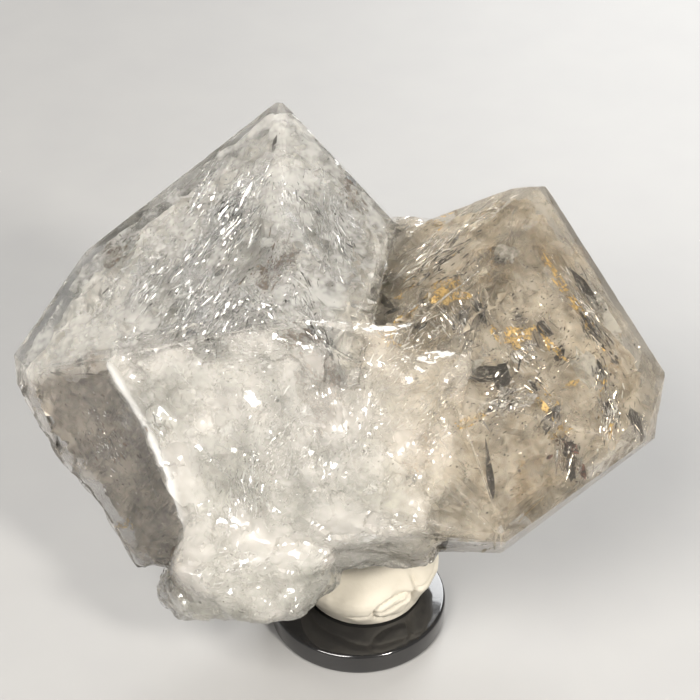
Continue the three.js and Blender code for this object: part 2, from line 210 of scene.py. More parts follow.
def carries(piece, **layers):
    """Gives the piece one value a point for each named layer."""
    for name, values in layers.items():
        layer = piece.data.attributes.new(name, "FLOAT", "POINT")
        layer.data.foreach_set("value", values.astype(np.float32))


table_top = Finish("pale_table")
speckle = table_top.noise(90, detail=2)
table_finish = table_top.done(table_top.surface(
    Base_Color=table_top.blend(speckle, (0.30, 0.295, 0.29), (0.325, 0.32, 0.31)),
    Roughness=0.55,
))
HALF = 2.0
floor = meshed("floor", [(-HALF, -HALF, 0), (HALF, -HALF, 0), (HALF, HALF, 0), (-HALF, HALF, 0)],
               [(0, 1, 2, 3)], table_finish)

world = bpy.data.worlds.new("studio")
world.use_nodes = True
sky = world.node_tree.nodes["Background"].inputs
sky["Color"].default_value = (0.87, 0.88, 0.90, 1)
sky["Strength"].default_value = 0.22
scene.world = world
scene.view_settings.view_transform = "Standard"
scene.cycles.max_bounces = 8
scene.cycles.transmission_bounces = 8
scene.cycles.transparent_max_bounces = 7


# The specimen: two clear quartz crystals and the milky broken mass they share, one natural piece. Its faces
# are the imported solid's own; the broken parts are worked finer here, and the edges carry small bruises.
# Sizes are in millimetres unless they say otherwise.
FINEST = 0.62 * MM
ON_FLATS = 1.15 * MM
FLAT_AREA = 9.0
SMOOTH_UP_TO = 24.0
SAME_WAY = 0.004
SAME_REACH = 0.05
STRAIGHT_ON = 0.9
CALMED = 0.85
CHIP = 3.4
SMALL_CHIP = 1.3
DEEPEST = -0.40
TALLEST = 0.25
BRUISE = 0.14
BEND = 1.544


def welded(node):
    """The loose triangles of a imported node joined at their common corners."""
    mesh = node.data
    corners = np.zeros(len(mesh.vertices) * 3, np.float32)
    mesh.vertices.foreach_get("co", corners)
    mesh.calc_loop_triangles()
    triangles = np.zeros(len(mesh.loop_triangles) * 3, np.int32)
    mesh.loop_triangles.foreach_get("vertices", triangles)
    keys = np.round(corners.reshape(-1, 3).astype(float) / 1e-7).astype(np.int64)
    _, first, back = np.unique(keys, axis=0, return_index=True, return_inverse=True)
    points = corners.reshape(-1, 3)[first].astype(float)
    faces = back.ravel()[triangles.reshape(-1, 3)]
    whole = (faces != np.roll(faces, -1, axis=1)).all(axis=1)
    return points, faces[whole]


def face_normals(points, faces):
    """Twice the area of each triangle as a length along its normal."""
    a, b, c = points[faces[:, 0]], points[faces[:, 1]], points[faces[:, 2]]
    return np.cross(b - a, c - a)


def unit(vectors):
    """The same ways at length one."""
    return vectors / np.maximum(np.linalg.norm(vectors, axis=-1, keepdims=True), 1e-12)


def refined(points, faces, tags, longest, on_tagged=None):
    """Edges longer than longest are cut at their middles, again and again: one, two or three cut edges part
    a triangle into two, three or four, which keep its tag. Edges between two tagged triangles may be as long
    as on_tagged."""
    while True:
        ends = np.sort(np.stack([faces, np.roll(faces, -1, axis=1)], axis=-1), axis=-1)
        edges, place = np.unique(ends.reshape(-1, 2), axis=0, return_inverse=True)
        limit = np.full(len(edges), np.inf)
        own_limit = np.where(tags > 0, on_tagged or longest, longest)
        np.minimum.at(limit, place.ravel(), np.repeat(own_limit, 3))
        long = np.linalg.norm(points[edges[:, 0]] - points[edges[:, 1]], axis=1) > limit
        if not long.any():
            return points, faces, tags
        cut = np.full(len(edges), -1)
        cut[long] = len(points) + np.arange(long.sum())
        points = np.vstack([points, points[edges[long]].mean(axis=1)])
        middles = cut[place.ravel()].reshape(-1, 3)
        count = (middles >= 0).sum(axis=1)
        turn = np.zeros(len(faces), int)
        turn[count == 1] = np.argmax(middles[count == 1] >= 0, axis=1)
        turn[count == 2] = (np.argmin(middles[count == 2], axis=1) + 1) % 3
        order = (np.arange(3) + turn[:, None]) % 3
        a, b, c = np.take_along_axis(faces, order, axis=1).T
        p, q, r = np.take_along_axis(middles, order, axis=1).T
        parts = [
            [(a, b, c)],
            [(a, p, c), (p, b, c)],
            [(p, b, q), (a, p, q), (a, q, c)],
            [(a, p, r), (p, b, q), (r, q, c), (p, q, r)],
        ]
        chosen = [(count == cuts, t) for cuts, made in enumerate(parts) for t in made]
        faces = np.vstack([np.stack(t, axis=1)[own] for own, t in chosen])
        tags = np.concatenate([tags[own] for own, _ in chosen])


def chance(cells, seed):
    """A number from 0 to 1 for each whole-number cell, the same on every run."""
    h = cells.astype(np.int64) * np.array([374761393, 668265263, 1274126177])
    h = (h[..., 0] ^ h[..., 1] ^ h[..., 2]) + seed * 974634777
    h = (h ^ (h >> 13)) * 1103515245 & 0xFFFFFFFF
    h = (h ^ (h >> 15)) * 2246822519 & 0xFFFFFFFF
    return ((h ^ (h >> 16)) & 0xFFFFFF) / float(0x1000000)


def grain(points, size, seed):
    """Smooth noise from -1 to 1: random values on a cubic lattice of that size, blended between."""
    at = points / size
    cell = np.floor(at).astype(np.int64)
    f = at - cell
    f = f * f * (3 - 2 * f)
    total = 0
    for corner in np.ndindex(2, 2, 2):
        share = np.prod(np.where(np.array(corner), f, 1 - f), axis=-1)
        total = total + share * chance(cell + np.array(corner), seed)
    return total * 2 - 1


def shards(points, size, seed):
    """Conchoidal chips: a point's height is that of the tilted plane of its nearest random seed."""
    at = points / size
    cell = np.floor(at).astype(np.int64)
    best = np.full(len(points), 1e9)
    height = np.zeros(len(points))
    for near in np.ndindex(3, 3, 3):
        other = cell + np.array(near) - 1
        jitter = np.stack([chance(other, seed + k) for k in (1, 2, 3)], axis=-1)
        tilt = np.stack([chance(other, seed + k) for k in (4, 5, 6)], axis=-1) * 2 - 1
        away = at - other - jitter
        far = (away ** 2).sum(axis=1)
        nearer = far < best
        best = np.where(nearer, far, best)
        height = np.where(nearer, (away * tilt).sum(axis=1), height)
    return height * size


def corner_normals(points, faces):
    """The area-weighted mean of the normals of the triangles that meet at each point."""
    normals = face_normals(points, faces)
    total = np.zeros_like(points)
    for k in range(3):
        np.add.at(total, faces[:, k], normals)
    return unit(total)


def softened(values, faces, rounds):
    """Each point's value averaged with those of its neighbours, again and again."""
    edges = np.vstack([faces[:, [0, 1]], faces[:, [1, 2]], faces[:, [2, 0]]])
    number = np.bincount(edges.ravel(), minlength=len(values)) + 1
    number = number.reshape(-1, *[1] * (values.ndim - 1))
    for _ in range(rounds):
        total = values.copy()
        np.add.at(total, edges[:, 0], values[edges[:, 1]])
        np.add.at(total, edges[:, 1], values[edges[:, 0]])
        values = total / number
    return values


def between(value, low, high):
    """A smooth climb from 0 at low to 1 at high."""
    t = np.clip((value - low) / (high - low), 0, 1)
    return t * t * (3 - 2 * t)


def coplanar_area(points, faces):
    """For each triangle the area in square millimetres of the flat face it lies in: all triangles with the
    same normal and the same distance from the origin, to SAME_WAY and SAME_REACH."""
    normals = face_normals(points, faces)
    direction = unit(normals)
    reach = (direction * points[faces[:, 0]]).sum(axis=1) / MM
    keys = np.column_stack([np.round(direction / SAME_WAY), np.round(reach / SAME_REACH)])
    _, group = np.unique(keys.astype(np.int64), axis=0, return_inverse=True)
    area = np.bincount(group.ravel(), np.linalg.norm(normals, axis=1) / 2) / MM ** 2
    return area[group.ravel()]


rough_points, rough_faces = welded(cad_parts["crystal_cluster"])
flat = coplanar_area(rough_points, rough_faces) > FLAT_AREA
points, faces, is_flat = refined(rough_points, rough_faces, flat.astype(float), FINEST, ON_FLATS)
touching = np.bincount(faces.ravel(), np.repeat(is_flat, 3), minlength=len(points))
broken = (touching == 0).astype(float)
broken_soft = softened(broken, faces, 2) * broken


def creases(points, faces, flat):
    """1 at the points of every edge where two flat faces meet and the cosine between their normals is
    under STRAIGHT_ON."""
    ends = np.sort(np.stack([faces, np.roll(faces, -1, axis=1)], axis=-1), axis=-1).reshape(-1, 2)
    owner = np.repeat(np.arange(len(faces)), 3)
    order = np.lexsort(ends.T)
    ends, owner = ends[order], owner[order]
    shared = (ends[1:] == ends[:-1]).all(axis=1)
    one, other = owner[:-1][shared], owner[1:][shared]
    way = unit(face_normals(points, faces))
    bent = ((way[one] * way[other]).sum(axis=1) < STRAIGHT_ON) & (flat[one] > 0) & (flat[other] > 0)
    marked = np.zeros(len(points))
    marked[ends[:-1][shared][bent]] = 1
    return marked


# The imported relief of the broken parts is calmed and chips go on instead; the edges are bruised.
crease = creases(points, faces, is_flat)
calm = softened(points, faces, 10)
points = points + (calm - points) * (broken_soft * CALMED)[:, None]
normals = corner_normals(points, faces)
place = points / MM
height = 0.12 * shards(place, CHIP, 11) + 0.08 * shards(place, SMALL_CHIP, 31) + 0.04 * grain(place, 0.9, 5)
height = np.clip(height, DEEPEST, TALLEST)
bruise = BRUISE * np.maximum(grain(place, 0.8, 8) + 0.3 * grain(place, 3.0, 9), 0) * crease
points = points + normals * ((height * broken_soft - bruise) * MM)[:, None]

quartz = Finish("quartz")
milk, smoke, warmth, white = (quartz.attribute(own) for own in ("milk", "smoke", "warmth", "white"))
wisps = quartz.noise(140, detail=3)
threads = quartz.noise(520, detail=2)
milkiness = (milk * (0.35 + wisps * 1.3)).capped()
clear_colour = quartz.blend(warmth, (0.94, 0.945, 0.94), (0.94, 0.89, 0.80))
# Painted shade: under the lower-left face the clear quartz is tinted dark brown-grey.
clear_colour = quartz.blend(smoke, clear_colour, (0.50, 0.45, 0.40))
milk_colour = quartz.blend(wisps.step(0.35, 0.7), (0.50, 0.485, 0.43), (0.78, 0.74, 0.68))
milk_colour = quartz.blend(warmth * 0.6, milk_colour, (0.60, 0.52, 0.40))
# The white layer: bruised edges' own white, and painted highlight along the edges and the ridge.
milk_colour = quartz.blend(white, milk_colour, (0.92, 0.91, 0.88))
scratches = quartz.noise(900, detail=2)
skin = quartz.bump(scratches, 0.03, 0.0003)
rough_skin = quartz.bump(threads, 0.15, 0.0005)
clear = quartz.surface(Base_Color=clear_colour, Roughness=0.02 + scratches * 0.05, IOR=BEND,
                       Transmission_Weight=1.0, Normal=skin)
cloudy = quartz.surface(Base_Color=milk_colour, Roughness=0.12 + threads * 0.25, IOR=BEND,
                        Normal=rough_skin)
mixed = quartz.add("ShaderNodeMixShader", {}, {0: milkiness, 1: clear, 2: cloudy})
body = quartz.add("ShaderNodeVolumeAbsorption", {}, {"Color": (0.93, 0.91, 0.86, 1), "Density": 2.0})
quartz_finish = quartz.done(mixed, body)

crystal = meshed("crystal_cluster_quartz", points, faces, quartz_finish, smooth=SMOOTH_UP_TO)
x, u, _ = face_on(points).T


def warm(x, u):
    """1 in the right crystal and 0 in the left. It changes over at the valley line, sharply high up, where
    the valley parts them, and softly in the broken mass."""
    valley = np.interp(u, [5, 18, 30, 44, 60], [8, 6, 0, 5, 12])
    softness = np.interp(u, [22, 34], [8, 2.6])
    return between((x - valley) / softness, -1, 1)


def break_line(u):
    """How far right the break meets the dark lower-left face, at each height."""
    return np.interp(u, [9, 14, 20, 25, 28], [-20.6, -21.7, -24.1, -27, -28.8])


def dark_face_shade(x, u):
    """1 under the dark face at the lower left, below the left crystal's girdle and left of the break; the
    quartz there is darkened as painted shade.
    """
    girdle = 26.6 + 0.33 * (x + 37.3)
    return (1 - between(x - break_line(u), -1.4, 0.4)) * (1 - between(u - girdle, -1.5, 0.3))


def ridge_highlight(x, u):
    """1 along the edge at which the break leaves the dark lower-left face; the quartz is whitened there
    as a painted highlight.
    """
    return np.exp(-((x - break_line(u)) / 0.6) ** 2) * between(u, 8, 10) * (1 - between(u, 27, 29))


outside_dark_face = 1 - dark_face_shade(x, u)
# White along the creases between flat faces: partly bruised edges, partly painted highlight on the edges.
wear_and_edge_highlight = softened(crease, faces, 1) * (0.6 + 0.6 * grain(place, 1.6, 10)) * outside_dark_face
across_middle = between(x, -15, -11) * (1 - between(x, 12, 16))
up_middle = between(u, 20, 24) * (1 - between(u, 38, 42))
wear_and_edge_highlight = wear_and_edge_highlight * (1 - 0.8 * across_middle * up_middle)
# Painted highlight: milk and white along the ridge of the break.
broken_milk = 0.27 * softened(broken, faces, 5) * outside_dark_face + 0.3 * ridge_highlight(x, u) * broken
# The lower-left face's dark tint is painted shade.
carries(crystal, milk=np.clip(0.05 + broken_milk + 0.28 * wear_and_edge_highlight, 0, 1),
        smoke=np.clip(0.5 * dark_face_shade(x, u) * (1 - broken), 0, 1),
        warmth=warm(x, u), white=np.clip(wear_and_edge_highlight + ridge_highlight(x, u), 0, 1))
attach(crystal, "root")
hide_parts("crystal_cluster")


# Milk in the quartz: the haze that the crystals grew round. Two shells follow the specimen's own faces, a
# thin one close under the skin and a dense cracked one deeper in.
SHELL_EDGE = 1.3 * MM


def kept_inside(piece, least):
    """Points outside the specimen, or less than least mm under its surface, go to the nearest place at that
    depth. Two weaker passes catch those that a sharp edge led astray."""
    for depth in (least, least * 0.5, least * 0.3):
        hold = piece.modifiers.new("inside", "SHRINKWRAP")
        hold.target = crystal
        hold.wrap_method = "NEAREST_SURFACEPOINT"
        hold.wrap_mode = "INSIDE"
        hold.offset = depth * MM
        shaped = piece.evaluated_get(bpy.context.evaluated_depsgraph_get())
        places = np.zeros(len(piece.data.vertices) * 3, np.float32)
        shaped.data.vertices.foreach_get("co", places)
        piece.modifiers.remove(hold)
        piece.data.vertices.foreach_set("co", places)
        piece.data.update()


def shell(name, depth, cracks, seed, finish):
    """The specimen's own surface, softened and drawn in along its normals: by depth millimetres, deeper in
    the right crystal, and chipped by cracks."""
    points, faces, _ = refined(rough_points, rough_faces, np.zeros(len(rough_faces)), SHELL_EDGE)
    points = softened(points, faces, 4)
    normals = softened(corner_normals(points, faces), faces, 3)
    x, u, _ = face_on(points).T
    honey = warm(x, u)
    flakes = shards(points / MM, 3.8, seed)
    fine = shards(points / MM, 1.7, seed + 20)
    inward = depth * (1 + 0.25 * honey) - cracks * np.clip(flakes + 0.6 * fine, -1.2, 0.8)
    piece = meshed(name, points - unit(normals) * (inward * MM)[:, None], faces, finish, smooth=30)
    kept_inside(piece, 0.5 * min(depth, 1.0))
    # The lower-left face's layer darkens the haze there as painted shade.
    carries(piece, warmth=honey, smoke=dark_face_shade(x, u), foot=between(18 - u, 0, 9))
    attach(piece, "root")


def haze(name, thin, dense, scale, dark, light, warm_dark, warm_light):
    """Mottled milk, grey on the left and honey on the right; thin and dense are the least and most of what
    is behind it that it hides, left first."""
    milk = Finish(name)
    warmth, smoke, foot = (milk.attribute(own) for own in ("warmth", "smoke", "foot"))
    blots = milk.noise(scale, detail=2)
    veins = milk.noise(scale * 3.4, detail=2, roughness=0.7)
    shade = (blots * 0.55 + veins * 0.45).step(0.36, 0.64)
    tone = (veins * 0.6 + blots * 0.4).step(0.34, 0.66)
    grey = milk.blend(tone, dark, light)
    grey = milk.blend(foot * 0.45, grey, (0.66, 0.66, 0.575))
    # Painted shade: under the lower-left face the milk turns dark brown.
    grey = milk.blend(smoke * 0.85, grey, milk.blend(tone, (0.13, 0.10, 0.075), (0.50, 0.44, 0.36)))
    colour = milk.blend(warmth, grey, milk.blend(tone, warm_dark, warm_light))
    least = warmth * (thin[1] - thin[0]) + thin[0]
    most = warmth * (dense[1] - dense[0]) + dense[0]
    milk.material.use_transparent_shadow = False
    return milk.done(milk.surface(Base_Color=colour, Roughness=0.4,
                                  Alpha=(least + shade * (most - least)).capped()))


thin_haze = haze("thin_haze", thin=(0.04, 0.02), dense=(0.55, 0.36), scale=150,
                 dark=(0.50, 0.485, 0.44), light=(1.0, 0.975, 0.93),
                 warm_dark=(0.58, 0.51, 0.40), warm_light=(0.97, 0.91, 0.80))
dense_haze = haze("dense_haze", thin=(0.55, 0.42), dense=(1.0, 1.0), scale=95,
                  dark=(0.54, 0.515, 0.465), light=(0.97, 0.94, 0.885),
                  warm_dark=(0.45, 0.37, 0.26), warm_light=(0.95, 0.88, 0.76))
shell("outer_milk", depth=0.8, cracks=0.25, seed=71, finish=thin_haze)
shell("inner_milk", depth=3.0, cracks=0.7, seed=73, finish=dense_haze)


# Inclusions: what the clear quartz shows inside, caught while it grew or when it cracked: iron films, dark
# flakes, silvery cracks, silky and glinting threads, a hollow spike and bright rods; the silky threads are
# white partly as the veils' own colour and partly as painted sparkle. Each is a thin plate or film, laid
# where the eye sees it through the crystal's face.
LEAST_UNDER = 0.25
EYE_ON_TABLE = standing(EYE)
corners = rough_points[rough_faces] - EYE_ON_TABLE
outward = unit(face_normals(rough_points, rough_faces))
away_from_eye = (outward * corners[:, 0]).sum(axis=1)
seen = away_from_eye < 0
seen_normals = outward[seen]
seen_reach = away_from_eye[seen]
seen_sides = np.cross(corners[seen], np.roll(corners[seen], -1, axis=1))


def first_met(lines):
    """How far from the eye each line meets the specimen, and the normal there. A line passes through a
    triangle when it lies inside the three planes through the eye and the triangle's edges."""
    inside = (np.einsum("tkx,lx->ltk", seen_sides, lines) <= 0).all(axis=2)
    far = np.where(inside, seen_reach / (lines @ seen_normals.T), np.inf)
    return far.min(axis=1), seen_normals[far.argmin(axis=1)]


def beneath(right, up, depth):
    """The places seen at (right, up), depth mm inside: the line from the eye meets the specimen's surface
    and is bent there by the quartz. Places beside the specimen move onto its rim."""
    right, up, depth = (np.atleast_1d(np.asarray(value, float)) for value in (right, up, depth))
    for _ in range(12):
        lines = unit(standing(np.stack([right, up, np.full(len(up), 10.0)], axis=1)) - EYE_ON_TABLE)
        far, normal = first_met(lines)
        if np.isfinite(far).all():
            break
        right = np.where(np.isfinite(far), right, right * 0.92 - 0.2)
        up = np.where(np.isfinite(far), up, up * 0.92 + 2.3)
    steep = -(normal * lines).sum(axis=1, keepdims=True)
    bent = lines / BEND + (steep / BEND - np.sqrt(1 - (1 - steep ** 2) / BEND ** 2)) * normal
    return face_on(EYE_ON_TABLE + lines * far[:, None] + bent * depth[:, None] * MM)


def kept_under(points, least):
    """Points that lie less than least mm behind the surface, as the eye sees them, go back to that depth."""
    table_points = standing(points)
    lines = unit(table_points - EYE_ON_TABLE)
    reach, _ = first_met(lines)
    far = np.linalg.norm(table_points - EYE_ON_TABLE, axis=1)
    back = np.where(np.isfinite(reach), np.maximum(reach + least * MM - far, 0), 0)
    return face_on(table_points + lines * back[:, None])


def behind_skin(count, seed, depth):
    """Places under the sides and the back: points at random over the faces that look away from the viewer,
    depth mm (a range) straight inside. Also gives the faces' normals."""
    draw = np.random.default_rng(seed)
    area = face_normals(rough_points, rough_faces)
    away = unit(area) @ unit(EYE_ON_TABLE)
    weight = np.linalg.norm(area, axis=1) * (away < 0.2)
    chosen = rough_faces[draw.choice(len(rough_faces), count, p=weight / weight.sum())]
    share = draw.dirichlet((1, 1, 1), count)[..., None]
    spots = (rough_points[chosen] * share).sum(axis=1)
    normals = unit(face_normals(rough_points, chosen))
    inner = spots - normals * draw.uniform(*depth, count)[:, None] * MM
    return face_on(inner), unit(face_on(inner + normals) - face_on(inner))


# Ways that the plates face, so that those of a zone glint together in the lamps.
LEFT_GLEAM = (-0.32, 0.29, 0.90)
RIGHT_GLEAM = (0.10, 0.25, 0.96)
FOOT_GLEAM = (-0.2, 0.1, 0.97)
TO_VIEWER = (0, 0.1, 1.0)
SIDEWAYS = (0.75, 0.5, 0.35)


def tilted(count, spread, seed, towards):
    """Normals scattered by spread about one way."""
    way = np.random.default_rng(seed).normal(0, spread, (count, 3))
    return unit(np.array(towards) + way)


def ways(normal, turn):
    """The long way and the wide way of a plate that faces normal and is turned by so many degrees."""
    side = unit(np.cross(np.array([0.0, 1.0, 0.0]), normal))
    rise = np.cross(normal, side)
    t = np.radians(turn)
    return side * np.cos(t) + rise * np.sin(t), rise * np.cos(t) - side * np.sin(t)


def plates(middles, normals, lengths, widths, turns, thick, seed):
    """Thin plates of six corners: corners at even angles and uneven reaches, stretched to length and width,
    turned in their own plane, and given a back."""
    draw = np.random.default_rng(seed)
    corners = 6
    count = len(middles)
    long_way, wide_way = ways(normals, turns[:, None])
    angle = np.linspace(0, 2 * np.pi, corners, endpoint=False) + draw.uniform(-0.3, 0.3, (count, corners))
    reach = draw.uniform(0.55, 1.0, (count, corners)) * 0.5
    a = (np.cos(angle) * reach * np.asarray(lengths)[:, None])[..., None] * long_way[:, None]
    b = (np.sin(angle) * reach * np.asarray(widths)[:, None])[..., None] * wide_way[:, None]
    front = middles[:, None] + a + b + normals[:, None] * thick / 2
    back = front - normals[:, None] * thick
    points = np.concatenate([front, back], axis=1).reshape(-1, 3)
    start = (np.arange(count) * 2 * corners)[:, None]
    i = np.arange(corners)
    j = (i + 1) % corners
    faces = (start + i).tolist() + (start + corners + i[::-1]).tolist()
    sides = np.stack([i, i + corners, j + corners, j], axis=1)
    faces += (start[:, :, None] + sides[None]).reshape(-1, 4).tolist()
    return points, faces


def bands(rings, sides, start=0):
    """Four-cornered faces between each ring of points and the next, where the first ring begins at start."""
    i = np.arange(sides)
    j = (i + 1) % sides
    low = start + np.arange(rings - 1)[:, None] * sides
    return np.stack([low + i, low + j, low + sides + j, low + sides + i], axis=-1).reshape(-1, 4)


def film(middle, normal, half_long, half_wide, turn, wave, seed, rings=8, spokes=30, chip=0.0):
    """A ragged sheet: rings about its middle, the rim drawn in and out by noise, lifted along its normal by
    noise and by chips of that size, and kept under the surface."""
    long_way, wide_way = ways(normal, turn)
    r, angle = np.meshgrid(np.linspace(0, 1, rings + 1)[1:],
                           np.linspace(0, 2 * np.pi, spokes, endpoint=False), indexing="ij")
    around = np.stack([np.cos(angle), np.sin(angle), np.zeros_like(angle)], axis=-1).reshape(-1, 3)
    rim = 1 + 0.45 * grain(around * 1.7 + seed, 1.0, seed) + 0.2 * grain(around * 5 + seed, 1.0, seed + 1)
    out = (r.ravel() * rim)[:, None]
    flat_points = around[:, :1] * out * half_long * long_way + around[:, 1:2] * out * half_wide * wide_way
    points = np.vstack([middle + flat_points, [middle]])
    points = points + normal * (wave * grain(points, 1.6, seed + 2))[:, None]
    if chip:
        points = points + normal * (0.45 * shards(points, chip, seed + 4))[:, None]
    points = kept_under(points, 0.35)
    i = np.arange(spokes)
    j = (i + 1) % spokes
    faces = np.stack([np.full(spokes, len(points) - 1), i, j], axis=1).tolist()
    return points, faces + bands(rings, spokes)[:, [0, 3, 2, 1]].tolist()


def gathered(name, made, finish):
    """Several (points, faces) face on, as one piece that rides in the crystal."""
    points, faces, start = [], [], 0
    for own_points, own_faces in made:
        points.append(own_points)
        faces += [[corner + start for corner in face] for face in own_faces]
        start += len(own_points)
    piece = meshed(name, standing(np.vstack(points)), faces, finish)
    kept_inside(piece, LEAST_UNDER)
    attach(piece, "root")


def flecks(spots, thick, seed, spread=0.25, towards=RIGHT_GLEAM):
    """Plates from rows of right, up, depth, length, width, turn."""
    spots = np.array(spots, float)
    middles = beneath(spots[:, 0], spots[:, 1], spots[:, 2])
    normals = tilted(len(spots), spread, seed, towards)
    return plates(middles, normals, spots[:, 3], spots[:, 4], spots[:, 5], thick, seed)


def films(spots, wave, seed, spread=0.2, towards=RIGHT_GLEAM, rings=8, spokes=30, chip=0.0):
    """Films from rows of right, up, depth, half length, half width, turn."""
    normals = tilted(len(spots), spread, seed, towards)
    middles = beneath(*np.array(spots, float)[:, :3].T)
    return [film(middle, normal, *spot[3:], wave, seed + 7 * k, rings, spokes, chip)
            for k, (spot, middle, normal) in enumerate(zip(spots, middles, normals))]


# Rows of right, up, depth, length, width and turn for plates, and half lengths for films; LIFTED and BOLDER
# bring such rows nearer the surface and make them larger.
LIFTED = (1, 1, 0.42, 1.05, 1, 1)
BOLDER = (1, 1, 0.42, 1.25, 1.45, 1)
RIGHT_DARK = [
    (12, 32.6, 2.2, 2.8, 1.2, 82), (14, 33.5, 2.6, 3.4, 0.7, -65), (21.2, 31.5, 2, 3, 1.6, -55),
    (23.1, 28.5, 2.4, 2.2, 0.8, 45), (14.3, 26.7, 3, 4.8, 1.1, 5), (16.6, 26.2, 2.2, 3, 1.9, 60),
    (22.4, 21.5, 2.4, 3.4, 1.3, 60), (24.3, 17.7, 2.2, 2, 1.3, 80), (24.6, 15.9, 2.6, 3.4, 1.3, 75),
    (26.1, 36.1, 2.6, 5.8, 1.3, -58), (26.9, 31.5, 2.4, 4.8, 0.7, -60), (27.9, 26.5, 2.2, 3.2, 0.6, -80),
    (31.9, 20.9, 1.6, 3.8, 1, -85), (6.4, 14.4, 1.8, 1.6, 0.4, 75), (18.4, 33, 3, 1.2, 0.5, 20),
    (20.2, 25, 2.6, 1.6, 0.5, -40), (12.4, 29.4, 2.4, 1.5, 0.5, 70), (28.6, 22.6, 2.2, 1.8, 0.5, -70),
]
LEFT_DARK = [
    (-16, 38, 1.4, 3.4, 0.9, 42), (-9.7, 52.5, 1, 3.8, 0.7, 92), (-7.7, 34.5, 1.6, 2.2, 0.5, -60),
    (-5.3, 31.5, 1.4, 3.8, 0.5, -55), (-3.3, 28.9, 1.4, 2.8, 0.6, -70), (-25.6, 26.7, 1.2, 2, 0.9, -30),
    (-12.9, 47.6, 1.2, 1, 0.6, 70), (-29, 36, 1.5, 1.4, 0.4, 40), (-2.2, 46.6, 1.2, 1.8, 0.4, -55),
]
RIGHT_GOLD = [
    (5.3, 32.8, 1.5, 1.7, 0.75, 50), (10.8, 35.8, 2.2, 2.1, 1.6, 20), (18.2, 30.5, 2.4, 1.7, 1.3, 30),
    (21.1, 22.9, 1.9, 2, 0.4, -50), (23, 19.8, 2, 1.4, 0.8, 10), (22.2, 29.9, 1.9, 2.9, 0.3, -48),
    (25.5, 33.8, 1.8, 6, 0.35, -58), (12.8, 21.1, 2, 1.8, 0.5, 20), (3.4, 30.9, 1.3, 1.4, 0.7, 60),
    (15.8, 31.2, 2.4, 1.2, 0.5, -70), (24.2, 25, 1.8, 1.2, 0.5, 40), (28.9, 20, 1.6, 0.9, 0.4, 80),
]
BROWN = [
    (-3.4, 4.8, 0.5, 1.1, 0.5, 60), (-20.4, 2.8, 0.8, 2.8, 1.1, -65), (-4.4, 22.9, 1, 3.6, 1.4, -62),
    (-10, 39, 1.8, 2.9, 2.3, 60), (-5.1, 25.3, 1.2, 3.2, 2, -60), (-3.8, 27.5, 1.2, 2.4, 1.2, -65),
    (-6.9, 30.9, 1.6, 2, 0.9, -20), (-0.5, 47, 1.4, 2.6, 0.9, -60), (-27.5, 41, 1.5, 2.6, 1.6, 50),
]
AMBER = [
    (7, 18.7, 2, 2.8, 2.2, 60), (14, 23.4, 3.4, 4.5, 1.6, 10), (20.5, 15, 3, 4, 2.4, 20),
    (24, 40, 2.6, 4.5, 2.5, -50), (14.5, 38.5, 2.6, 3.6, 2.4, 30), (29, 27, 2, 3.5, 1.8, -70),
]
RIGHT_SILVER = [
    (16.6, 23.4, 1.6, 3.2, 1.3, 10), (29.1, 21.3, 1.2, 3.4, 1, 85), (27.7, 31.5, 1.4, 4.2, 0.6, -60),
    (18.6, 29, 1.8, 1.8, 1, 30), (15.1, 29.7, 1.6, 1.8, 0.7, 50), (10.2, 31.5, 1.4, 1.8, 1.2, 20),
    (5.8, 26.4, 1.4, 3.4, 1.4, 40), (9.6, 24.8, 1.6, 3, 0.9, 50), (18, 42.6, 1.2, 3, 0.6, 30),
    (22, 37.5, 1.6, 2.6, 0.6, -55), (8, 41, 1.2, 4, 0.5, 36), (11.5, 42.6, 1.2, 3.6, 0.4, 30),
]
LEFT_SILVER = [
    (-14.8, 45.2, 1.1, 4.8, 2.3, 62), (-17.6, 41.5, 1.2, 4.6, 2.3, 66), (-19, 35.6, 1.1, 4.4, 2.6, 78),
    (-16, 33.4, 1.3, 4.2, 2.8, 40), (-13.2, 31, 1.2, 3.4, 2, 20), (-24.5, 38.5, 1.4, 6, 2.2, 72),
    (-3.6, 43.5, 1, 7.6, 0.8, -52), (-5.6, 41, 1.2, 7, 0.6, -56), (-1.2, 41, 1, 6, 0.5, -50),
    (-7.2, 44.6, 1.1, 5, 0.6, -62), (-2, 45.6, 1, 4.6, 0.5, -50), (-10.8, 50.4, 0.8, 2.4, 0.7, 50),
    (-12, 48.4, 0.9, 2.2, 1, 30), (-9, 36.6, 1.4, 3, 0.7, -60), (-28.4, 36, 1.2, 5, 0.4, 76),
    (-24, 31, 1, 4.6, 0.5, 14), (-31, 28.4, 0.9, 4.4, 0.3, 12),
]
EDGE_ON = [
    (-21.5, 17, 1, 3, 0.8, -70), (-14, 20.5, 1.2, 3, 0.7, 20),
    (-9, 21, 1.2, 2.6, 0.7, 45), (-7.5, 17.5, 1.2, 3.4, 0.6, 60), (-11.5, 13.5, 1.2, 3.2, 0.7, 75),
    (-13.5, 12, 1.2, 3, 0.6, 85), (-3.5, 14.5, 1.2, 2.4, 0.6, -60), (-5.2, 22.5, 1.2, 3.6, 0.6, 25),
    (-17, 22.5, 1.2, 3.2, 0.7, 35), (-15.5, 16, 1, 2.8, 0.6, -35), (-1.5, 19, 1.2, 4, 0.6, 80),
    (-19, 12, 0.9, 2.6, 0.6, -75), (-15, 9.6, 0.9, 2.4, 0.5, 80), (2, 14, 1, 2.4, 0.6, 40),
    (-9.5, 25, 1, 4.4, 0.5, -8), (-20, 26, 1, 3, 0.6, -40), (-8, 5, 1, 3, 0.5, -28),
]
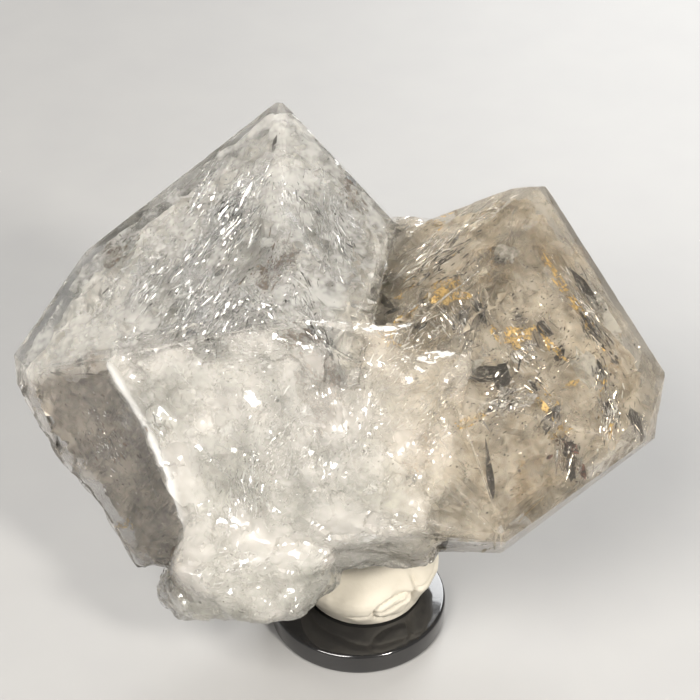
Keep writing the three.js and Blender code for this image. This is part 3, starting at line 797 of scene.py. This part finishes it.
GREY_VEILS = [
    (26.3, 27, 0.7, 2.4, 1.5, -65), (17, 40, 0.7, 1.5, 1.2, 30), (12, 26.5, 0.8, 2.4, 1.3, 38),
    (28, 33.5, 0.9, 4.2, 1, -60), (-10, 39.4, 0.9, 2.4, 1.9, 70), (-28, 40, 0.8, 2.6, 1.5, 48),
]
MAROON = [(24.3, 18.4, 0.9, 4.6, 1.5, -62), (25.8, 15.2, 0.9, 3.4, 1.2, -70), (22, 16.9, 0.8, 1.4, 0.5, 30)]


def mineral(name, dark, light, cover, scale, rough, metal=0.0):
    """A mottled inclusion, hiding what is behind it by cover at its thinnest and thickest."""
    film_finish = Finish(name)
    spots = film_finish.noise(scale, detail=3, roughness=0.65, distortion=0.6)
    fine = film_finish.noise(scale * 4.3, detail=2, roughness=0.7)
    shade = (spots * 0.65 + fine * 0.35).step(0.38, 0.62)
    film_finish.material.use_transparent_shadow = False
    return film_finish.done(film_finish.surface(
        Base_Color=film_finish.blend(shade, dark, light),
        Roughness=rough + fine * 0.2, Metallic=metal,
        Alpha=(cover[0] + shade * (cover[1] - cover[0])).capped(),
    ))


def strays(count, seed, depth, reach, wave):
    """Films scattered under the sides and the back, at a slant to the surface."""
    draw = np.random.default_rng(seed)
    middles, normals = behind_skin(count, seed, depth)
    normals = unit(normals + draw.normal(0, 0.25, (count, 3)))
    sizes = draw.uniform(*reach, count)
    return [film(middle, normal, size, size * draw.uniform(0.3, 0.8), draw.uniform(0, 180), wave,
                 seed + 5 * k)
            for k, (middle, normal, size) in enumerate(zip(middles, normals, sizes))]


def stray_flecks(count, seed, depth, sizes, thick):
    """Plates scattered under the sides and the back."""
    draw = np.random.default_rng(seed)
    middles, normals = behind_skin(count, seed, depth)
    lengths = draw.uniform(*sizes, count)
    normals = unit(normals + draw.normal(0, 0.3, (count, 3)))
    return plates(middles, normals, lengths, lengths * draw.uniform(0.3, 0.9, count),
                  draw.uniform(0, 180, count), thick, seed)


gold_finish = mineral("iron_gold", (0.34, 0.20, 0.04), (0.80, 0.56, 0.20), (0.10, 0.92), 700, 0.22, 0.3)
brown_finish = mineral("iron_brown", (0.30, 0.235, 0.16), (0.085, 0.055, 0.035), (0.05, 0.92), 600, 0.35)
amber_finish = mineral("iron_amber", (0.30, 0.17, 0.05), (0.60, 0.42, 0.20), (0.0, 0.45), 450, 0.4)
dark_finish = mineral("dark_flake", (0.012, 0.010, 0.009), (0.05, 0.043, 0.04), (0.94, 1.0), 900, 0.12)
silver_finish = mineral("crack_silver", (0.62, 0.61, 0.59), (0.98, 0.97, 0.95), (0.0, 0.78), 850, 0.10, 0.55)
white_finish = mineral("crack_white", (0.70, 0.69, 0.66), (0.96, 0.95, 0.93), (0.2, 0.90), 650, 0.30)
gathered("golden_films", films(np.array(RIGHT_GOLD) * LIFTED, 0.25, 301)
         + strays(9, 311, (1.0, 2.5), (0.8, 2.4), 0.25), gold_finish)
gathered("brown_films", films(np.array(BROWN) * LIFTED, 0.5, 351)
         + strays(6, 361, (1.0, 2.5), (1.5, 3.5), 0.4), brown_finish)
gathered("amber_films", films(AMBER, 0.6, 401), amber_finish)
gathered("dark_flakes", [flecks(np.array(RIGHT_DARK) * BOLDER, 0.12, 451), flecks(LEFT_DARK, 0.12, 452),
                         stray_flecks(22, 453, (0.8, 2.6), (0.8, 3.2), 0.1)], dark_finish)
gathered("silver_cracks", films(RIGHT_SILVER, 0.3, 501, rings=10, spokes=40, chip=0.9)
         + films(LEFT_SILVER, 0.3, 551, towards=LEFT_GLEAM, rings=12, spokes=44, chip=1.1)
         + strays(14, 571, (1.0, 2.2), (1.6, 4.5), 0.5), silver_finish)
veil_finish = mineral("grey_veil", (0.40, 0.40, 0.38), (0.62, 0.61, 0.57), (0.35, 0.80), 300, 0.25)
gathered("grey_veils", films(GREY_VEILS, 0.3, 591), veil_finish)
maroon_finish = mineral("maroon_flake", (0.03, 0.010, 0.012), (0.16, 0.075, 0.06), (0.70, 1.0), 700, 0.15)
gathered("maroon_flakes", [flecks(MAROON, 0.1, 595)], maroon_finish)
gathered("white_cracks", films(EDGE_ON, 0.4, 581, spread=0.3, towards=SIDEWAYS), white_finish)

# Zones of glitter: right, up, reach across, reach up, how many.
GLITTER_LEFT = [
    (-15, 46, 2.8, 3.6, 110), (-18.4, 38, 3, 4, 130), (-16.8, 32, 3.6, 2.4, 120),
    (-12.6, 34.5, 2.4, 2.6, 70), (-5, 42.5, 3, 5, 70), (-12, 50, 2.4, 1.6, 30),
    (-22, 38, 3.5, 5.5, 60),
]
GLITTER_RIGHT = [
    (16.6, 23.6, 2.8, 1.2, 70), (29, 21.6, 1.2, 2.8, 60), (27.4, 31.5, 1.6, 3, 40),
    (18.6, 29.4, 2.6, 1.6, 50), (11, 31, 2.6, 2.2, 50), (24, 22, 2.6, 3.6, 50),
    (10.5, 22, 5, 5, 60), (19, 33, 6, 5, 60),
]
GLITTER_FOOT = [
    (-9, 19, 6.5, 5.5, 120), (-11.5, 13, 4, 3.5, 60), (-23, 19, 1.8, 6, 50),
    (-8, 27.5, 7, 1.6, 60), (1, 22, 3, 6, 50), (-12, 4.5, 5.5, 3.5, 60),
]

# Zones of threads: right, up, reach along, reach across, way, how many, length, width. DEEP to NEARER are
# ranges of depth.
DEEP = (0.35, 1.9)
CLOSE = (0.3, 0.9)
NEAR = (0.3, 0.8)
NEARER = (0.3, 0.6)
SILK_SPARKLE_LEFT = [
    (-14.4, 44.7, 5, 3, 66, 300, 1.4, 0.18), (-18, 47.4, 4, 0.7, 62, 60, 1.1, 0.20),
    (-17.6, 33.6, 4.6, 3.6, 62, 330, 1.1, 0.20), (-19.6, 38.8, 5.5, 1.1, 62, 80, 1.4, 0.18),
    (-24, 36.4, 4.6, 1.4, 60, 50, 1.6, 0.14), (-3.3, 42.6, 7, 2.4, -73, 90, 2.2, 0.12),
    (-1.6, 47.4, 4.6, 0.7, -44, 36, 1.3, 0.12), (-7.5, 46, 3.6, 1.6, -70, 50, 0.9, 0.16),
    (-12.5, 28.4, 6, 2.4, 8, 90, 0.8, 0.18), (-11, 34.2, 3.4, 2.4, -40, 70, 0.9, 0.18),
    (-23.5, 31.2, 5, 0.4, 13, 40, 1.1, 0.12), (-5.6, 33.5, 5.5, 1.2, -66, 50, 1.5, 0.12),
]
SILK_SPARKLE_RIGHT = [
    (7.7, 39.7, 4.6, 2, 38, 80, 1.7, 0.14), (14, 44.4, 4.6, 1, 34, 40, 1.4, 0.12),
    (28.9, 21.7, 2.8, 1.1, 82, 80, 0.8, 0.20), (16.6, 23.2, 2.8, 1.4, 20, 80, 0.7, 0.20),
    (25.6, 35, 5, 0.9, -58, 60, 1.4, 0.12), (5.5, 30, 5.5, 2.4, 42, 90, 1.2, 0.14),
    (18.8, 28.8, 2.2, 1.8, -50, 60, 0.8, 0.16), (10.8, 32.4, 2.4, 2.4, -60, 60, 0.9, 0.14),
    (8, 20.5, 6, 3.6, 50, 90, 0.8, 0.14), (3, 8.6, 6, 0.9, 8, 60, 0.8, 0.14),
]
SILK_SPARKLE_FOOT = [
    (-9, 19, 6.5, 4.5, 60, 190, 0.9, 0.15), (-12.6, 11.5, 4.6, 1.4, 86, 70, 1.5, 0.16),
    (-22, 17.5, 7, 0.9, -68, 70, 1.1, 0.16), (-12, 4.5, 5.5, 2.6, 20, 90, 0.7, 0.14),
    (0.5, 21, 5, 2, 70, 70, 1, 0.14), (-28.5, 17.5, 6.5, 3, -60, 70, 0.6, 0.12),
    (-19, 3.8, 3.2, 0.9, -64, 30, 0.9, 0.16), (-14, 10.6, 3, 1.8, 88, 60, 1.6, 0.16),
]
DARK_STREAKS = [
    (8.6, 38.2, 4.2, 1.7, 38, 46, 2, 0.22), (11.5, 41, 4.2, 0.5, 38, 16, 1.8, 0.16),
    (5.4, 43.3, 0.8, 0.4, 20, 8, 1, 0.25), (16, 22.8, 3, 1.8, 35, 34, 0.7, 0.16),
    (28.6, 22, 3, 1.4, 80, 34, 0.8, 0.16), (14, 26.6, 2.6, 0.8, 20, 14, 0.9, 0.16),
    (27.6, 30.8, 4.2, 1.2, -60, 30, 1.3, 0.20), (-14.6, 44, 4.6, 2.6, 66, 44, 1, 0.14),
    (-17, 33, 4.2, 3.2, 62, 50, 0.8, 0.14), (-4.8, 24.6, 4.4, 1.6, -62, 36, 0.8, 0.18),
    (-5.2, 33, 6, 1.8, -68, 34, 1.3, 0.14), (-2.4, 42.5, 6, 2.4, -72, 34, 1.2, 0.13),
    (-12, 28, 8, 2.6, 5, 34, 0.7, 0.13), (-19.4, 3.8, 3.2, 0.8, -64, 60, 1, 0.28),
    (-24.5, 38, 6, 3, 60, 30, 0.8, 0.13), (-9, 16, 9, 6, 50, 50, 0.7, 0.12),
    (16, 14, 8, 3, 10, 40, 0.5, 0.14), (20, 36, 6, 5, 30, 46, 0.6, 0.13),
    (2, 8.4, 7, 0.9, 6, 30, 0.7, 0.14), (-28.5, 18.5, 6, 3.2, -60, 40, 0.7, 0.18),
]
RUST_STREAKS = [
    (-4.4, 25.6, 5, 1.2, -60, 130, 0.9, 0.26), (-7.6, 30.2, 2.4, 0.8, -25, 50, 0.9, 0.22),
    (-10, 39, 2.4, 1.7, 66, 70, 0.9, 0.24), (-3.2, 5, 1.6, 0.7, 50, 40, 0.6, 0.24),
    (-27, 41, 3, 1.2, 48, 34, 0.8, 0.16), (-29, 19, 7, 3.6, -60, 110, 0.8, 0.18),
    (24.4, 17, 3.2, 0.9, -62, 40, 0.9, 0.24), (-0.6, 46.6, 2.4, 0.8, -62, 30, 0.8, 0.18),
]
GOLD_STREAKS = [
    (6, 36.6, 4.2, 1, 40, 26, 1.4, 0.14), (24.6, 34.6, 5.2, 0.35, -57, 34, 1.4, 0.22),
    (9.4, 43.8, 1.4, 0.8, 20, 14, 0.9, 0.22), (21.8, 30, 2.6, 0.5, -52, 16, 0.9, 0.18),
    (22.2, 23.6, 2.6, 0.5, -52, 16, 0.9, 0.18), (27.8, 24.4, 3.2, 1, 84, 20, 0.7, 0.16),
]
BESIDE_FLAKES = [(right, up, 0.5 * long + 0.2, 0.9 * wide + 0.5, way, 16, 0.5 * long + 0.3, 0.13)
                 for right, up, _, long, wide, way in RIGHT_DARK if long > 1.1]
ALL_OVER = [(-14, 36, 15, 12, 50, 330, 0.4, 0.14), (18, 27, 14, 13, 40, 460, 0.4, 0.14),
            (-10, 16, 13, 10, 60, 330, 0.4, 0.13)]


def streaks(zones, seed, towards, depth):
    """Slender plates scattered about each zone's middle, all leaning the zone's way."""
    draw = np.random.default_rng(seed)
    rows = []
    for right, up, along, across, way, count, length, width in zones:
        spread = draw.normal(0, 0.5, (count, 2)) * (along, across)
        c, s = math.cos(math.radians(way)), math.sin(math.radians(way))
        place_right = right + spread[:, 0] * c - spread[:, 1] * s
        place_up = up + spread[:, 0] * s + spread[:, 1] * c
        size = np.exp(draw.normal(-0.25, 0.55, (2, count)))
        rows.append(np.column_stack([place_right, place_up, draw.uniform(*depth, count), length * size[0],
                                     width * size[1], way + draw.normal(0, 13, count)]))
    return flecks(np.vstack(rows), 0.03, seed, spread=0.24, towards=towards)


def glitter(zones, seed, towards):
    """Tiny plates scattered about each zone's middle, a little under the face."""
    draw = np.random.default_rng(seed)
    spots = []
    for right, up, across, high, count in zones:
        place = draw.normal(0, 1, (count, 2)) * (across * 0.6, high * 0.6) + (right, up)
        sizes = draw.uniform(0.12, 0.45, count)
        spots.append(np.column_stack([place, draw.uniform(0.5, 2.4, count), sizes,
                                      sizes * draw.uniform(0.3, 1.0, count), draw.uniform(-80, 80, count)]))
    return flecks(np.vstack(spots), 0.03, seed, spread=0.28, towards=towards)


glint = Finish("crack_glint")
cloudy_spots = glint.noise(1200, detail=2)
glint_finish = glint.done(glint.surface(
    Base_Color=glint.blend(cloudy_spots, (0.90, 0.88, 0.84), (1.0, 1.0, 1.0)),
    Metallic=1.0, Roughness=0.08 + cloudy_spots * 0.15,
))
# Silky threads in white: partly the veils' own white, partly painted sparkle that shows whichever way they
# face.
silk_sparkle = Finish("crack_silk_sparkle")
silk_sparkle_cloud = silk_sparkle.noise(800, detail=2)
silk_sparkle_finish = silk_sparkle.done(silk_sparkle.surface(
    Base_Color=silk_sparkle.blend(silk_sparkle_cloud, (0.88, 0.87, 0.85), (1.0, 1.0, 0.99)),
    Roughness=0.12 + silk_sparkle_cloud * 0.2, IOR=1.9,
))
for name, seed, depth, finish in (("silk_sparkle_threads", 611, DEEP, silk_sparkle_finish),
                                  ("glint_threads", 615, CLOSE, glint_finish)):
    gathered(name, [streaks(SILK_SPARKLE_LEFT, seed, LEFT_GLEAM, depth),
                    streaks(SILK_SPARKLE_RIGHT, seed + 1, RIGHT_GLEAM, depth),
                    streaks(SILK_SPARKLE_FOOT, seed + 2, FOOT_GLEAM, depth)], finish)
gathered("dark_threads", [streaks(DARK_STREAKS, 621, TO_VIEWER, CLOSE),
                          streaks(BESIDE_FLAKES, 622, TO_VIEWER, NEAR),
                          streaks(ALL_OVER, 623, TO_VIEWER, CLOSE)], dark_finish)
gathered("glint_specks", [streaks(BESIDE_FLAKES, 627, RIGHT_GLEAM, NEARER),
                          streaks(ALL_OVER[:1], 628, LEFT_GLEAM, CLOSE),
                          streaks(ALL_OVER[1:], 629, RIGHT_GLEAM, CLOSE)], glint_finish)
rust_finish = mineral("iron_rust", (0.045, 0.026, 0.016), (0.20, 0.135, 0.08), (0.85, 1.0), 700, 0.25)
gathered("rust_threads", [streaks(RUST_STREAKS, 623, TO_VIEWER, NEAR)], rust_finish)
gathered("gold_threads", [streaks(GOLD_STREAKS, 625, RIGHT_GLEAM, NEAR)], gold_finish)
gathered("glitter", [glitter(GLITTER_LEFT, 601, LEFT_GLEAM), glitter(GLITTER_RIGHT, 602, RIGHT_GLEAM),
                     glitter(GLITTER_FOOT, 603, FOOT_GLEAM),
                     stray_flecks(260, 604, (0.5, 2.4), (0.15, 0.7), 0.03)], glint_finish)


def spindle(start, end, width):
    """A sharp hollow spike: a turned outline from a point, widest at two thirds, along the line."""
    sides = 7
    share = np.array([0.02, 0.15, 0.4, 0.68, 0.9, 0.99])
    thick = np.array([0.06, 0.3, 0.7, 1.0, 0.6, 0.12]) * width / 2
    way = unit(end - start)
    side = unit(np.cross(way, (0.0, 0.0, 1.0)))
    other = np.cross(way, side)
    angle = np.linspace(0, 2 * np.pi, sides, endpoint=False)
    ring = np.cos(angle)[:, None] * side + np.sin(angle)[:, None] * other
    rings = start + share[:, None, None] * (end - start) + thick[:, None, None] * ring[None]
    points = np.vstack([rings.reshape(-1, 3), [start], [end]])
    i = np.arange(sides)
    j = (i + 1) % sides
    last = (len(share) - 1) * sides
    tip = np.stack([np.full(sides, len(points) - 2), j, i], axis=1)
    tail = np.stack([np.full(sides, len(points) - 1), last + i, last + j], axis=1)
    return points, [*tip.tolist(), *bands(len(share), sides).tolist(), *tail.tolist()]


SPIKE = beneath([14.6, 15.5], [19.1, 12.0], [1.0, 1.1])
gathered("hollow_spike", [spindle(*SPIKE, 0.95)], dark_finish)
RODS = [(14.2, 21.1, 1.4, 3.6, 0.32, -56), (9.9, 18.5, 1.4, 3.4, 0.25, -57), (20.8, 27.4, 1.6, 2.0, 0.2, -50)]
gathered("bright_rods", [flecks(RODS, 0.10, 651, spread=0.08)], glint_finish)


# Putty pad: a pinch of cream mineral putty pressed between the disc and the specimen's broken foot. The
# packed lump is worked finer, with folds, a thumb's pressing and its fine skin.
PAD_FINEST = 0.5 * MM
pad_points, pad_faces = welded(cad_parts["putty_pad"])
pad_points, pad_faces, _ = refined(pad_points, pad_faces, np.zeros(len(pad_faces)), PAD_FINEST)
pad_place = pad_points / MM
pad_normals = corner_normals(pad_points, pad_faces)
bare = between(pad_place[:, 2], 3.4, 4.2) * (1 - between(pad_normals[:, 2], 0.6, 0.9))
bare = softened(bare, pad_faces, 2)
along = pad_place[:, 0] * 0.8 + pad_place[:, 1] * 0.35 + 1.2 * grain(pad_place, 4.0, 61)
upright_fold = -0.75 * np.exp(-((along - 4.2) / 0.55) ** 2)
level_fold = -0.5 * np.exp(-((pad_place[:, 2] - 6.2 - 0.25 * along) / 0.35) ** 2)
curl = np.hypot(pad_place[:, 0] - 4.6, (pad_place[:, 2] - 6.0) * 1.25)
rolled_edge = -0.6 * np.exp(-((curl - 2.7) / 0.42) ** 2) * (1 - between(pad_place[:, 1], -1, 2))
folds = upright_fold + level_fold + rolled_edge
press = folds + 0.22 * grain(pad_place, 3.2, 63) + 0.12 * grain(pad_place, 1.4, 62) - 0.15
pad_points = pad_points + pad_normals * (press * bare * MM)[:, None]
putty = Finish("mineral_putty")
kneaded = putty.noise(130, detail=5)
pores = putty.noise(1500, detail=3, roughness=0.7)
putty_finish = putty.done(putty.surface(
    Base_Color=putty.blend(kneaded, (0.60, 0.545, 0.44), (0.74, 0.695, 0.60)),
    Roughness=0.62 + pores * 0.25,
    Normal=putty.bump(pores + kneaded * 2, 0.35, 0.0002),
))
pad = meshed("putty_pad_kneaded", pad_points, pad_faces, putty_finish, smooth=50)
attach(pad, "root")
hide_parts("putty_pad")


# Disc: turned from black acrylic, with softly rounded rims and a polished face. It lies loose on the table
# and carries the putty.
RADIUS = 11.0
ROUND = 0.45


def turned(profile, sides):
    """A closed body of revolution: profile is (radius, height) from the axis below to the axis above."""
    angle = np.linspace(0, 2 * np.pi, sides, endpoint=False)
    rings = [np.stack([r * np.cos(angle), r * np.sin(angle), np.full(sides, z)], axis=1) for r, z in profile]
    points = np.vstack([[(0, 0, profile[0][1])], *rings, [(0, 0, profile[-1][1])]])
    i = np.arange(sides)
    j = (i + 1) % sides
    last = 1 + (len(profile) - 1) * sides
    under = np.stack([np.zeros(sides, int), 1 + j, 1 + i], axis=1)
    top = np.stack([last + i, last + j, np.full(sides, len(points) - 1)], axis=1)
    return points, [*under.tolist(), *bands(len(profile), sides, start=1).tolist(), *top.tolist()]


bend = np.linspace(0, np.pi / 2, 7)
low_rim = [(RADIUS - ROUND + ROUND * math.sin(a), ROUND - ROUND * math.cos(a)) for a in bend]
high_rim = [(RADIUS - ROUND + ROUND * math.cos(a), DISC_TOP - ROUND + ROUND * math.sin(a)) for a in bend]
disc_points, disc_faces = turned([(RADIUS * 0.5, 0), *low_rim, *high_rim, (RADIUS * 0.5, DISC_TOP)], 144)
acrylic = Finish("black_acrylic")
bloom = acrylic.noise(260, detail=5)
wipes = acrylic.noise(2600, detail=2)
acrylic_finish = acrylic.done(acrylic.surface(
    Base_Color=acrylic.blend(bloom, (0.008, 0.008, 0.009), (0.018, 0.017, 0.016)),
    Roughness=0.06 + bloom * 0.10,
    Coat_Weight=0.6,
    Coat_Roughness=0.03,
    Normal=acrylic.bump(wipes, 0.04, 0.0001),
))
disc = meshed("stand_disc_polished", disc_points * MM, disc_faces, acrylic_finish, smooth=40)
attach(disc, "root")
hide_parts("stand_disc")
